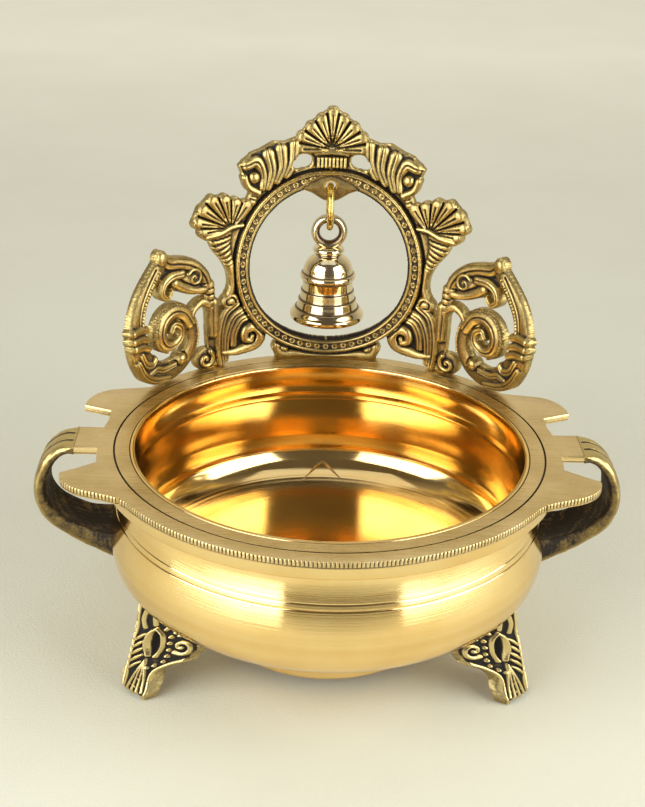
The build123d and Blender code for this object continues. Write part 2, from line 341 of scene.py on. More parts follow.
def polygon_distance(u, v, poly):
    """Signed distance to a polygon, positive inside."""
    best = np.full(u.shape, 1e9)
    crossing = np.zeros(u.shape, bool)
    for (au, av), (bu, bv) in zip(poly, np.roll(poly, -1, axis=0)):
        du, dv = bu - au, bv - av
        t = np.clip(((u - au) * du + (v - av) * dv) / (du * du + dv * dv + 1e-12), 0, 1)
        best = np.minimum(best, np.hypot(u - au - t * du, v - av - t * dv))
        if dv:
            crossing ^= ((av > v) != (bv > v)) & (u < du * (v - av) / dv + au)
    return np.where(crossing, best, -best)


def on_rim(u, v, h):
    """Unrolled arch to the rim frame: the face with relief looks in at the bowl."""
    angle, radius = u / UNROLL_R, ARCH_MID - h
    return np.stack([radius * np.sin(angle), radius * np.cos(angle), v], -1)


def mirrored(points, faces):
    """The same mesh on the other side of the plane x = 0."""
    return points * (-1, 1, 1), [list(f)[::-1] for f in faces]


# ---- Materials ------------------------------------------------------------------
class Graph:
    """Short way to write a material's node tree. Places are the object's own, in metres."""

    def __init__(self, name):
        self.material = bpy.data.materials.new(name)
        self.material.use_nodes = True
        self.tree = self.material.node_tree
        self.shader = self.tree.nodes["Principled BSDF"]
        self.object = self.add("ShaderNodeTexCoord").outputs["Object"]
        axis = self.add("ShaderNodeVectorMath", {0: self.object, 1: (0, AXIS_Y * MM, 0)},
                        operation="SUBTRACT").outputs[0]
        split = self.add("ShaderNodeSeparateXYZ", {0: axis})
        self.x, self.y, self.z = split.outputs
        square = self.math("ADD", self.math("MULTIPLY", self.x, self.x),
                           self.math("MULTIPLY", self.y, self.y))
        self.radius = self.math("SQRT", square)

    def add(self, kind, inputs=None, **settings):
        node = self.tree.nodes.new(kind)
        for key, value in settings.items():
            setattr(node, key, value)
        for key, value in (inputs or {}).items():
            self.feed(node.inputs[key], value)
        return node

    def feed(self, socket, value):
        if isinstance(value, bpy.types.NodeSocket):
            self.tree.links.new(value, socket)
        else:
            socket.default_value = value

    def math(self, operation, a, b=0.0):
        return self.add("ShaderNodeMath", {0: a, 1: b}, operation=operation).outputs[0]

    def scaled(self, scale):
        return self.add("ShaderNodeVectorMath", {0: self.object, 1: scale},
                        operation="MULTIPLY").outputs[0]

    def noise(self, scale, detail=3.0, vector=None, roughness=0.55):
        return self.add("ShaderNodeTexNoise", {"Vector": vector or self.object, "Scale": scale,
                        "Detail": detail, "Roughness": roughness}).outputs["Fac"]

    def lines(self, along, per_mm, detail=2.0):
        """Random fine lines across one coordinate."""
        return self.add("ShaderNodeTexNoise", {"W": self.math("MULTIPLY", along, 1000 * per_mm),
                        "Scale": 1.0, "Detail": detail}, noise_dimensions="1D").outputs["Fac"]

    def ramp(self, factor, stops):
        node = self.add("ShaderNodeValToRGB", {0: factor})
        marks = node.color_ramp.elements
        while len(marks) < len(stops):
            marks.new(0.5)
        for mark, (position, value) in zip(marks, stops):
            mark.position = position
            mark.color = (*value, 1) if isinstance(value, tuple) else (value, value, value, 1)
        return node.outputs[0]

    def range(self, value, low, high, to_low, to_high):
        return self.add("ShaderNodeMapRange", {0: value, 1: low, 2: high, 3: to_low, 4: to_high}
                        ).outputs[0]

    def mix(self, factor, a, b):
        node = self.add("ShaderNodeMix", {0: factor, 6: a, 7: b}, data_type="RGBA")
        return node.outputs[2]

    def bump(self, height, distance, normal=None):
        inputs = {"Height": height, "Distance": distance, "Strength": 1.0}
        if normal:
            inputs["Normal"] = normal
        return self.add("ShaderNodeBump", inputs).outputs[0]

    def finish(self, **sockets):
        for name, value in sockets.items():
            self.feed(self.shader.inputs[name.replace("_", " ")], value)
        return self.material


def turned_brass(name, light, deep, rough, line_depth, patina_and_shade=False):
    """Lathe-turned and buffed metal: fine rings, faint stains, slightly uneven gloss. When its
    darkening is switched on, dark brown shows where the cavity attribute is below zero: brown
    patina in the bell's steps, and painted shade inside the bell and on the inner edge of its loop."""
    g = Graph(name)
    profile = g.math("SUBTRACT", g.radius, g.z)
    rings = g.lines(profile, 2.2)
    coarse = g.lines(profile, 0.35)
    stain = g.noise(38, 4)
    color = g.ramp(g.math("ADD", g.math("MULTIPLY", stain, 0.7), g.math("MULTIPLY", coarse, 0.3)),
                   [(0.3, deep), (0.62, light)])
    roughness = g.range(g.math("ADD", rings, stain), 0.7, 1.3, rough * 0.7, rough * 1.35)
    if patina_and_shade:
        # dark brown where the cavity attribute is low: brown patina in hollows, and painted shade inside the
        # bell and in its loop
        level = g.math("ADD", attribute(g), g.math("MULTIPLY", g.math("SUBTRACT", stain, 0.5), 0.5))
        patina_and_shade_mix = g.range(g.math("MULTIPLY", level, -1.0), 0.05, 0.6, 0.0, 0.94)
        color = g.mix(patina_and_shade_mix, color, (0.10, 0.055, 0.025, 1))
        roughness = g.math("ADD", roughness, g.math("MULTIPLY", patina_and_shade_mix, 0.2))
    normal = g.bump(rings, line_depth)
    return g.finish(Base_Color=color, Metallic=1.0, Roughness=roughness, Normal=normal)


def satin_brass():
    """Flat rim plate: brushed along X, tiny pits, near black where the cavity attribute is low:
    painted shade in the gap at the lip, and darker in the turned groove, ticks and edge recess.
    """
    g = Graph("satin_brass")
    brushed = g.noise(1.0, 3, g.scaled((60, 2600, 900)))
    pits = g.noise(1700, 1)
    stain = g.noise(45, 4)
    color = g.ramp(g.math("ADD", g.math("MULTIPLY", brushed, 0.45), g.math("MULTIPLY", stain, 0.55)),
                   [(0.3, (0.60, 0.43, 0.17)), (0.66, (0.88, 0.69, 0.36))])
    # near black where the cavity attribute is low: painted shade in the gap at the lip; the turned groove,
    # ticks and edge recess are darker too
    deep = g.range(g.math("MULTIPLY", attribute(g), -1.0), 0.05, 0.45, 0.0, 1.0)
    color = g.mix(deep, color, (0.035, 0.018, 0.006, 1))
    dots = g.range(pits, 0.68, 0.78, 0.0, 0.6)
    color = g.mix(dots, color, (0.08, 0.04, 0.01, 1))
    normal = g.bump(brushed, 0.00003)
    normal = g.bump(pits, 0.00002, normal)
    roughness = g.range(brushed, 0.3, 0.7, 0.24, 0.44)
    return g.finish(Base_Color=color, Metallic=1.0, Roughness=roughness, Normal=normal)


def attribute(g):
    return g.add("ShaderNodeAttribute", attribute_name="cavity").outputs["Fac"]


def cast_brass(name, bright, mid, dark, worn, coarse=900):
    """Antiqued casting: black-brown patina in the recesses, rubbed bright on what stands up; painted
    shade where a piece marks its cavity attribute low, as on the handles' inner faces.
    `worn` is how deep the rubbing reaches, in millimetres below the surroundings."""
    g = Graph(name)
    blotch = g.noise(120, 4)
    grain = g.noise(coarse, 3)
    level = g.math("ADD", attribute(g), g.math("MULTIPLY", g.math("SUBTRACT", blotch, 0.5), 0.5))
    level = g.math("ADD", level, g.math("MULTIPLY", g.math("SUBTRACT", grain, 0.5), 0.35))
    shown = g.range(level, -0.55 + worn, 0.3 + worn, 0.0, 1.0)
    color = g.ramp(shown, [(0.0, dark), (0.3, mid), (0.62, bright), (1.0, bright)])
    metal = g.ramp(shown, [(0.0, 0.25), (0.3, 1.0)])
    roughness = g.ramp(shown, [(0.0, 0.75), (0.35, 0.42), (1.0, 0.26)])
    normal = g.bump(grain, 0.00012)
    return g.finish(Base_Color=color, Metallic=metal, Roughness=roughness, Normal=normal)


def wire_brass():
    """Drawn wire: bright yellow with faint marks."""
    g = Graph("wire_brass")
    marks = g.noise(600, 3)
    color = g.ramp(marks, [(0.3, (0.55, 0.34, 0.06)), (0.6, (0.90, 0.66, 0.19))])
    return g.finish(Base_Color=color, Metallic=1.0, Roughness=g.range(marks, 0.3, 0.7, 0.18, 0.34),
                    Normal=g.bump(marks, 0.00004))


def studio_paper():
    """Pale, slightly mottled paper, brighter away from the object, where the lamps don't reach."""
    g = Graph("studio_paper")
    mottle = g.noise(7, 5)
    color = g.ramp(mottle, [(0.3, (0.635, 0.625, 0.51)), (0.7, (0.665, 0.655, 0.54))])
    behind = g.range(g.y, 0.05, 1.3, 0.04, 0.72)
    before = g.range(g.y, -0.7, -1.5, 0.04, 0.55)
    glow = g.math("MAXIMUM", behind, before)
    return g.finish(Base_Color=color, Roughness=0.9, Normal=g.bump(g.noise(900, 2), 0.0002),
                    Emission_Color=color, Emission_Strength=glow)


BELLY = [(85.6, -11), (85.6, -13.5), (86.6, -18.6), (88, -24), (89.4, -29.4), (90.6, -35),
         (91, -39.6), (89.3, -48), (84.8, -54), (78, -58.7), (66, -65.6), (56, -69.2), (48.5, -71.4)]
BELLY_PATH = smooth_path(BELLY, 16)


def belly_radius(height):
    """Outer radius of the bowl at a height below the rim."""
    order = np.argsort(BELLY_PATH[:, 1])
    return np.interp(height, BELLY_PATH[order, 1], BELLY_PATH[order, 0])


# ---- Turned pieces ----------------------------------------------------------------
def resample(path, spacing, fine_heights=(), fine=0.16, reach=0.9):
    """Even points along a (radius, height) path, closer together near the given heights."""
    path = np.asarray(path, float)
    length = np.concatenate([[0], np.cumsum(np.hypot(*np.diff(path, axis=0).T))])
    stops = list(np.linspace(0, length[-1], max(2, round(length[-1] / spacing))))
    for height in fine_heights:
        middle = length[np.argmin(np.abs(path[:, 1] - height))]
        stops += list(np.arange(middle - reach, middle + reach, fine))
    stops = np.unique(np.clip(stops, 0, length[-1]))
    return np.stack([np.interp(stops, length, path[:, k]) for k in (0, 1)], -1)


def build_bowl(material):
    grooves = [(-25.0, 0.34, 0.24), (-22.6, 0.12, 0.2), (-47.0, 0.1, 0.2)]
    outside = resample(BELLY_PATH, 1.5, [g[0] for g in grooves])
    for height, depth, width in grooves:
        outside[:, 0] -= depth * np.exp(-((outside[:, 1] - height) / width) ** 2)
    foot = FOOT_RING_H
    under = [(0, -72.4), (42.6, -72.4), (43.3, -73.2), (43.5, foot + 0.6), (44.0, foot + 0.1),
             (44.6, foot), (46.6, foot), (47.2, foot + 0.15), (47.5, foot + 0.7), (47.5, -73.2),
             (47.8, -72.2)]
    flange = [(92.4, -8.7), (94.0, -7.9), (94.35, -7.45), (SHOULDER_R, -7.1), (SHOULDER_R, -3.25),
              (94.2, -PLATE_T - 0.02), (LIP_R, -PLATE_T - 0.02)]
    lip = [(LIP_R, -0.35), (81.85, -0.08), (81.5, 0), (80.6, 0), (80.15, -0.12), (MOUTH_R, -0.5)]
    ledges = [(MOUTH_R, -12), (80.15, -12.35), (81.2, -12.85), (81.4, -13.2), (81.4, -16),
              (81.55, -16.4), (82.4, -16.95)]
    well = smooth_path([(82.6, -17.2), (84.6, -24), (87.2, -34), (87.4, -40), (84.6, -48.5),
                        (77, -55.4), (63, -61.6), (40, -65.2), (15, -65.95), (0, -66)], 14)
    inside = resample(well, 1.7)
    profile = np.vstack([under, outside[::-1], flange, lip, ledges, inside])
    points, faces = lathe(profile, 320)
    return make_piece("polished_bowl", points, faces, material, "bowl_body", "polished_brass",
                      ["bowl"], sharp=28)


def plate_outline(spacing):
    """Outer edge of the rim plate, read from the CAD plate and divided evenly."""
    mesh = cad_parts["rim_flange"].data
    co = np.array([v.co for v in mesh.vertices]) / MM - (0, AXIS_Y, RIM_Z)
    rim = co[(np.abs(co[:, 2]) < 0.01) & (np.hypot(co[:, 0], co[:, 1]) > GROOVE_R + 3)][:, :2]
    rim = np.unique(rim.round(3), axis=0)
    rim = rim[np.argsort(np.arctan2(rim[:, 1], rim[:, 0]))]
    closed = np.vstack([rim, rim[:1]])
    divided = []
    for a, b in zip(closed[:-1], closed[1:]):
        count = max(1, round(np.hypot(*(b - a)) / spacing))
        divided += [a + (b - a) * k / count for k in range(count)]
    return np.array(divided)


def build_rim_plate(material):
    """Plate with a bevelled top edge, milled ticks round the rim and a turned groove."""
    outline = plate_outline(0.3)
    ahead = np.roll(outline, -1, axis=0) - np.roll(outline, 1, axis=0)
    ahead /= np.linalg.norm(ahead, axis=1)[:, None]
    inward = np.stack([-ahead[:, 1], ahead[:, 0]], -1)
    step = np.hypot(*(outline - np.roll(outline, 1, axis=0)).T)
    travel = np.cumsum(step)
    random = np.random.default_rng(7)
    wobble = np.interp(travel, np.arange(0, travel[-1] + 20, 20),
                       random.uniform(-0.25, 0.25, int(travel[-1] // 20) + 2))
    pitch = 1.55
    tick = np.exp(-((((travel + wobble) / pitch) % 1 - 0.5) * pitch / 0.24) ** 2)
    radius = np.hypot(*outline.T)
    back_or_tab = (outline[:, 1] > HANDLE_Y - HANDLE_W / 2 - 1.5) & (np.abs(outline[:, 0]) > 79)
    tick = np.where(back_or_tab & (radius > PLATE_R - 3), 0, tick)
    direction = outline / radius[:, None]
    rings, cavity = [], []

    def ring(points, height, hollow=0.0):
        rings.append(np.column_stack([points, np.full(len(points), height)]))
        cavity.append(np.broadcast_to(hollow, len(points)))

    # the plate's wall at the lip is marked low for painted shade in the gap to the bowl; the turned groove
    # is marked low too, which darkens it
    for r, h, hollow in ((LIP_R + PLATE_GAP, -PLATE_T, -0.8), (LIP_R + PLATE_GAP, -0.3, -0.6),
                         (LIP_R + PLATE_GAP + 0.25, 0, 0), (GROOVE_R - GROOVE_HALF, 0, 0),
                         (GROOVE_R - 0.28, -GROOVE_D * 0.8, -0.7), (GROOVE_R + 0.28, -GROOVE_D, -0.8),
                         (GROOVE_R + GROOVE_HALF, 0, 0), (GROOVE_R + 2.4, 0, 0)):
        ring(direction * r, h, hollow)
    # the milled ticks and the recess line under the edge are marked low, which darkens them
    for inset, h, cut in ((0.42, 0, 0), (0.14, -0.1, 0.5), (0.0, -0.38, 1), (0.0, -1.3, 1),
                          (0.03, -2.2, 0.9), (0.22, -2.45, 0), (0.22, -2.62, 0), (0.02, -2.75, 0),
                          (0.1, -PLATE_T, 0)):
        depth = inset + 0.3 * cut * tick
        ring(outline + inward * depth[:, None] if cut else outline + inward * inset, h,
             -0.6 * cut * tick - (0.3 if h in (-2.45, -2.62) else 0))
    ring(direction * (GROOVE_R + 2.4), -PLATE_T)
    points = np.vstack(rings)
    faces = grid_faces(len(rings), len(outline), close_rows=True)
    return make_piece("eared_rim_plate", points, faces[:, ::-1], material, "bowl_body",
                      "satin_brass", ["rim_flange"], sharp=30, cavity=np.concatenate(cavity))


def build_bell(material):
    """Turned bell with beads and steps, and its thick upright loop; brown patina lies in the steps,
    the whole inside is painted dark as painted shade, and the loop is brown patina with painted
    shade on its inner edge, where the wire ring passes through.
    """
    outside = [(6.4, 53.9), (7.0, 53.3), (7.2, 52.3), (6.8, 51.5), (6.0, 51.0), (6.0, 50.4),
               (7.6, 49.2), (9.6, 47.4), (11.0, 44.6), (11.5, 42.2), (11.6, 41.8), (12.4, 41.4),
               (12.75, 40.6), (12.75, 39.7), (12.4, 39.0), (11.8, 38.7), (11.6, 38.1), (11.6, 35),
               (11.75, 33.8), (12.25, 33.4), (12.35, 32.8), (12.6, 30), (12.75, 29.5), (13.3, 29.1),
               (13.5, 28.5), (13.9, 26.2), (14.3, 25.2), (15.0, 24.8), (16.2, 23.2), (BELL_R, 22.2),
               (BELL_R, 20.6), (16.7, 20)]
    inside = [(15.6, 20), (12.9, 23.8), (11.6, 27.3), (10.7, 31.5), (10.1, 38), (9.2, 42.8),
              (6.4, 45.9), (0, 47.2)]
    segments, inside_span = 128, 6
    profile = np.vstack([[(0, 54.1)], smooth_path(outside, 4), smooth_path(inside, inside_span)])[::-1]
    points, faces = lathe(profile, segments, (0, BELL_Y))
    steps = ((51.0, 0.5), (41.95, 0.3), (38.6, 0.4), (33.75, 0.3), (29.5, 0.3), (25.3, 0.35))
    height = profile[1:-1, 1]
    patina_and_shade = -sum(0.9 * np.exp(-((height - h) / reach) ** 2) for h, reach in steps)
    # the whole inside of the bell is painted dark: painted shade
    inner = np.arange(len(height)) < inside_span * (len(inside) - 1)
    patina_and_shade = np.where(inner, -0.7, patina_and_shade)
    cavity = np.concatenate([np.repeat(patina_and_shade, segments), [-0.7, 0]])
    loop, loop_faces = tube_ring((0, BELL_Y, LOOP_H), 6.3, 6.25, 1.95, 2.7)
    from_middle = np.hypot(loop[:, 0], loop[:, 2] - LOOP_H)
    # brown patina over the loop, darkest on its inner edge: painted shade where the wire ring passes through
    loop_cavity = np.interp(from_middle, [4.4, 5.6, 7.0, 8.3], [-1.0, -0.55, -0.2, -0.3])
    faces = list(faces) + [[k + len(points) for k in f] for f in loop_faces]
    return make_piece("turned_bell", np.vstack([points, loop]), faces, material, "bell_body",
                      "bell_brass", ["bell"], sharp=40, cavity=np.concatenate([cavity, loop_cavity]))


def tube_ring(centre, half_x, half_z, radial, depth, around=72, section=20, plane="xz"):
    """Closed oval ring standing upright: an oval section swept round an oval."""
    a = np.arange(around) * tau / around
    b = np.arange(section) * tau / section
    reach = radial * np.cos(b)[None, :]
    first = (half_x + reach) * np.cos(a)[:, None]
    up = (half_z + reach) * np.sin(a)[:, None]
    aside = np.repeat(depth * np.sin(b)[None, :], around, axis=0)
    columns = [first, aside, up] if plane == "xz" else [aside, first, up]
    points = np.stack(columns, -1).reshape(-1, 3) + centre
    faces = grid_faces(around, section, close_rows=True)
    return points, faces[:, ::-1].tolist() if plane == "yz" else faces.tolist()


def build_ring(material):
    """Wire ring, closed by hand: slightly flattened where its two ends were brazed."""
    points, faces = tube_ring((0, BELL_Y, RING_H), RING_R, RING_R, WIRE_R, WIRE_R, 128, 24, "yz")
    offset = points - (0, BELL_Y, RING_H)
    angle = np.arctan2(offset[:, 2], offset[:, 1])
    seam = np.exp(-((angle + 0.35) / 0.035) ** 2)
    core = np.stack([np.zeros(len(angle)), np.cos(angle), np.sin(angle)], -1) * RING_R
    points = points - (offset - core) * (0.16 * seam)[:, None]
    return make_piece("wire_ring", points, faces, material, "ring_body", "wire_brass",
                      ["bell_ring"])


# ---- Cast handles, feet and arch ----------------------------------------------------
def build_handle(name, node, side, material):
    """Strap with two long grooves that begin on the bend, flaring into a trough at the belly."""
    outer = smooth_path([(TAB_X, 0), (109, -0.2), (113.6, -2.6), (118.2, -8), (121.4, -17),
                         (121.3, -26), (116.8, -35), (106, -42.6), (96.5, -47.2), (86.8, -51.2)], 12)
    inner = smooth_path([(TAB_X, -3.2), (107.6, -3.9), (110.6, -5.6), (113.6, -9.6), (116.2, -16),
                         (116.2, -23), (111.8, -29.6), (102.6, -35), (96, -36.8), (89.3, -37.5)], 12)
    rows, columns = len(outer), 61
    share = np.linspace(0, 1, rows)[:, None]
    across = np.linspace(-1, 1, columns)[None, :]
    flare = np.clip((share - 0.62) / 0.38, 0, 1) ** 1.5
    half = HANDLE_W / 2 * (1 + 0.36 * flare)
    y = HANDLE_Y + half * across
    groove_in = np.clip((share - 0.015) / 0.02, 0, 1) * np.clip((0.78 - share) / 0.25, 0, 1)
    dip = sum(np.exp(-((across - c) * half / 0.7) ** 2) for c in (-0.26, 0.42))
    bulge = 0.45 * np.sin(pi * np.clip((share - 0.03) / 0.8, 0, 1)) * (1 - np.abs(across) ** 3)
    lumps = np.sin(share * 61 + across * 9) * np.sin(share * 23 - across * 17)
    lumps = lumps + 0.6 * np.sin(share * 140 + across * 5) * np.sin(share * 90 - across * 31)
    rough = np.clip((share - 0.12) / 0.1, 0, 1) * (0.05 + 0.13 * np.abs(across) ** 6)
    relief = bulge - 1.3 * dip * groove_in + rough * lumps
    trough = 4.2 * np.clip((share - 0.5) / 0.5, 0, 1) * (1 - across ** 2)
    edge = 1.25 * np.abs(across) ** 10 * np.clip(share / 0.1, 0, 1)
    surfaces = []
    for path, lift, turn in ((outer, relief - edge, 1), (inner, -trough - 0.8 * edge, -1)):
        ahead = np.gradient(path, axis=0)
        ahead /= np.linalg.norm(ahead, axis=1)[:, None]
        normal = np.stack([-ahead[:, 1], ahead[:, 0]], -1) * turn
        x = path[:, :1] + lift * normal[:, :1]
        z = path[:, 1:] + lift * normal[:, 1:]
        surfaces.append(np.stack([x, y, z], -1))

    def narrow_side(column, sign, depths):
        """Lines between the two faces along one narrow side, swelling a little outwards."""
        top, bottom = surfaces[0][:, column], surfaces[1][:, column]
        lines = []
        for t in depths:
            swell = 0.5 * np.clip(share[:, 0] / 0.1, 0, 1) * sin(pi * t)
            aside = sign * (swell + 0.07 * lumps[:, column] * (share[:, 0] > 0.12))
            lines.append(top + (bottom - top) * t + np.stack([0 * swell, aside, 0 * swell], -1))
        return np.stack(lines, axis=1)

    depths = (0.25, 0.5, 0.75)
    back, front = narrow_side(-1, 1, depths), narrow_side(0, -1, depths[::-1])
    loop = np.concatenate([surfaces[0], back, surfaces[1][:, ::-1], front], axis=1)
    width = loop.shape[1]
    points = loop.reshape(-1, 3)
    faces = grid_faces(rows, width).tolist()
    faces.append(list(range(width)))
    faces.append(list(range((rows - 1) * width, rows * width))[::-1])
    worn = 0.45 - 0.35 * np.clip((share - 0.1) / 0.3, 0, 1)
    hollow = np.broadcast_to(worn - 1.7 * dip * groove_in + 0.2 * rough * lumps, (rows, columns))
    beside = np.broadcast_to(0.08 * lumps[:, :1] - 0.12 - 0.2 * flare, (rows, len(depths)))
    # the face towards the belly is marked low: painted shade between the strap and the bowl
    inside = np.broadcast_to(-0.3 + 0.06 * lumps, (rows, columns))
    cavity = np.concatenate([hollow, beside, inside, beside], axis=1).ravel()
    if side < 0:
        points, faces = mirrored(points, faces)
    return make_piece(name, points, faces, material, "bowl_body", "antique_brass", [node],
                      sharp=55, cavity=cavity)


def coil(centre, reach, turns, start, half, steps=14):
    """Spiral of (u, v, half width) points winding in to its centre."""
    share = np.linspace(0, 0.92, steps)
    angle = tau * turns * share + start
    return [(centre[0] + reach * (1 - t) * cos(a), centre[1] + reach * (1 - t) * sin(a),
             half * (1 - 0.35 * t)) for t, a in zip(share, angle)]


def foot_flank(r, side):
    """One half of the leaf, -1 or 1: hollow, ribs, toe fan, rim, volute, beads and small leaves."""
    def stroke(points, *args, **settings):
        r.stroke([(side * u, v, w) for u, v, w in points], *args, **settings)

    # bright rim of the deep oval hollow
    stroke([(7.2, 30.6, 0.7), (5.2, 28, 0.7), (4.6, 23.4, 0.7), (6, 18.6, 0.7)], 1.8, 1.8)
    stroke([(7.2, 30.6, 0.7), (9.2, 28, 0.7), (9.6, 23.4, 0.7), (8.2, 18.6, 0.7)], 1.8, 1.8)
    # serrated ribs down to the ridge, then the fan of the toe
    for k in range(5):
        v = 27.6 - 3.1 * k
        stroke([(4.2, v, 0.5), (2.4, v - 1.6, 0.75), (0.7, v - 3.8, 0.6)], 1.3, 1.6)
    for end, low in ((1.7, 2.8), (4.0, 2.0), (6.3, 2.2), (8.4, 3.4)):
        stroke([(5.6, 16.4, 0.45), (0.45 * end + 3.1, 10.5, 0.6), (end, low, 0.95)], 1.2, 1.9)
    for u, v in ((3.6, 8.4), (5.4, 8.0), (7.0, 8.6), (2.9, 5.2), (5.2, 4.6), (7.4, 5.2)):
        r.boss((side * u, v), (0.6, 0.6), 1.3, 1.3)
    # rim along the waist and the wing
    stroke([(9.4, 1.0, 0.8), (10.1, 4, 0.8), (9.0, 8.6, 0.7), (9.4, 12.6, 0.7), (12.4, 16, 0.8),
            (16.6, 18.8, 0.9)], 1.5, 1.6)
    # volute and beads on the wing, and small leaves up to the belly
    stroke(coil((15.2, 24.6), 3.4, 1.3, 4.2, 0.95), 1.6, 1.6)
    for u, v in ((10.8, 16.8), (11.4, 19.4), (11.6, 22.2), (11.4, 25), (11.4, 27.8), (12.6, 30),
                 (8.6, 14.6), (6.8, 13.2)):
        r.boss((side * u, v), (0.75, 0.75), 1.4, 1.4)
    for leaf in ([(3.2, 30, 0.7), (2.4, 34, 0.9), (3.4, 39, 0.8)],
                 [(6.4, 32, 0.8), (6.2, 36, 1.0), (8, 40, 0.8)],
                 [(9.6, 30.6, 0.7), (11.6, 33.4, 0.9), (12.4, 36.6, 0.8)],
                 [(13.8, 29, 0.7), (16, 30.6, 0.9), (17.6, 29, 0.8)]):
        stroke(leaf, 1.4, 1.6)
    r.hollow((side * 7.1, 23.6), (1.9, 4.2), 3.0)


def foot_relief():
    """Leaf foot laid flat: u across it, v the height above the floor."""
    r = Relief((-21, 21), (-1, 44), 0.26)
    half = [(0, 0), (8.6, 0), (10.6, 2), (10.8, 6), (9.8, 10), (10.2, 13.5), (13, 16.6), (17.4, 19.4),
            (19.6, 24), (18.4, 30), (11, 38), (0, 43)]
    r.sheet(half + [(-u, v) for u, v in half[::-1]], 1.1)
    r.stroke([(0, 42, 1.0), (0, 30, 0.8), (0, 18, 0.7), (0, 8, 0.8), (0, 1.6, 1.0)], 1.3, 1.5)
    for side in (-1, 1):
        foot_flank(r, side)
    r.edge = np.minimum(r.edge, r.v)
    return r


def on_foot(angle):
    """Bending of a foot: leaning in upwards, folded back either side of its stem."""
    heading = radians(angle)

    def bend(u, v, h):
        lean = np.interp(v, [0, 3, 10, 18, 30, 44], [91.4, 92.6, 91.2, 89.2, 86, 84])
        fold = np.interp(v, [0, 8, 16, 44], [0.35, 0.8, 1.05, 1.0])
        radius = lean - fold * (np.sqrt(u * u + 6) - 2.45) + h
        return np.stack([radius * cos(heading) - u * sin(heading),
                         radius * sin(heading) + u * cos(heading), v + FLOOR_H], -1)
    return bend


def build_feet(material):
    """Three equal feet, cut off where they meet the belly, each turned to its CAD node."""
    relief = foot_relief()
    flat = on_foot(0)(relief.u, relief.v, np.zeros(relief.u.shape))
    clearance = np.hypot(flat[..., 0], flat[..., 1]) - belly_radius(relief.v + FLOOR_H)
    under_plate = relief.v + FLOOR_H < BELLY[0][1]
    relief.edge = np.where(under_plate, np.minimum(relief.edge, clearance + 3.5), -1)
    for node in ("foot_front_left", "foot_front_right", "foot_rear"):
        low, high = box_mm(node)
        middle = (low + high) / 2
        angle = np.degrees(np.arctan2(middle[1] - AXIS_Y, middle[0]))
        points, faces, cavity = relief.solid(on_foot(round(angle)), FOOT_BACK, 0.8)
        make_piece("leaf_" + node, points, faces, material, "bowl_body", "dark_brass", [node],
                   sharp=70, cavity=cavity)


def toward(centre, tip, share):
    """Point at a share of the way from a centre to a tip."""
    return centre[0] + share * (tip[0] - centre[0]), centre[1] + share * (tip[1] - centre[1])


def petals(r, centre, tips, foot=1.0, mid=2.4, tip=2.9, ground=1.2):
    """Overlapping petals that fan out from a centre to the given tips, each with a slot."""
    r.sheet([centre] + tips, ground)
    for end in tips:
        widths = ((0.12, foot), (0.55, mid), (0.86, tip))
        r.stroke([(*toward(centre, end, t), width) for t, width in widths], 1.8, 1.4)
    for end in tips:
        r.engrave([toward(centre, end, t) for t in (0.3, 0.55, 0.8)], 0.9, 0.34)
    for (ua, va), (ub, vb) in zip(tips[:-1], tips[1:]):
        gap = ((ua + ub) / 2, (va + vb) / 2)
        r.engrave([toward(centre, gap, t) for t in (0.1, 0.5, 0.93)], 1.5, 0.42)


def acanthus(r):
    """Ground down to the seat on the rim, volute and curled leaves, and the window's block."""
    r.sheet([(0, 0), (23.5, 0), (24.5, 4), (22, 9), (27, 13), (30, 9), (35, 6), (42, 4.6),
             (48, 4.6), (49.5, 0), (52, 0), (52.4, 16), (51.2, 28), (47.5, 33), (45.2, 37), (44.8, 43),
             (48, 51), (54.5, 59.5), (48, 76), (37.5, 77), (34, 82), (27, 92), (17, 99), (11, 100),
             (0, 98)], 0.9)
    volute = [(50.6, 7.0, 1.5), (45.4, 6.2, 2.1), (39.6, 6.8, 2.7), (33.6, 8.6, 3.0), (31.4, 12.8, 3.0),
              (34, 16.8, 2.7), (38.4, 15.8, 2.3), (39, 12, 2.0), (36.2, 10.8, 1.8), (35.4, 12.8, 1.2)]
    r.stroke(volute, 1.3, 2.4)
    for leaf in ([(37, 22.6, 1.6), (41.6, 21.2, 2.2), (44.6, 16, 2.3), (45, 10, 1.8)],
                 [(38.6, 26.6, 1.7), (45, 23.4, 2.4), (48.2, 16.6, 2.5), (49, 9, 2.0), (48.6, 3, 1.6)],
                 [(43, 30, 1.8), (49.2, 25.6, 2.4), (51.6, 17, 2.4), (51.8, 8, 2.0), (51, 1.6, 1.8)]):
        r.stroke(leaf, 1.6, 1.9, grooves=(-0.1,), groove_depth=0.6)
    r.boss((46.6, 31.2), (4.4, 3.6), 1.9, 1.5)
    r.engrave([(43.8, 30.6), (45.4, 33), (48.4, 32.4), (48.4, 30), (46.4, 29.8)], 1.0, 0.4)
    # curled block that carries the window on the rim
    r.stroke([(0, 1.8, 2.0), (10, 1.8, 2.0), (20, 2.0, 2.1), (23.4, 5.6, 2.0), (20.6, 9.4, 1.9)], 1.5, 1.6)
    r.boss((19.6, 5.2), (2.0, 2.0), 1.6, 1.5)


def side_fan(r):
    """Banded stem and fan beside the window."""
    r.stroke([(47.4, 33, 1.9), (45.6, 38, 1.5), (45.8, 45, 1.7), (48, 52, 2.7), (50.6, 58, 4.4),
              (51.5, 63, 5.8)], 1.6, 1.4, ribs=(2.4, 0.9, 0.5, 1))
    petals(r, (46.2, 65.6), [(37.6, 76.6), (43.2, 78.4), (49.4, 80.8), (56.4, 81.4), (62, 77),
                             (65, 71), (61.4, 65.6)])
    r.stroke([(40.6, 66.6, 1.0), (46, 66.2, 1.3), (52, 64, 1.4), (59, 63.4, 1.4)], 2.0, 1.5)


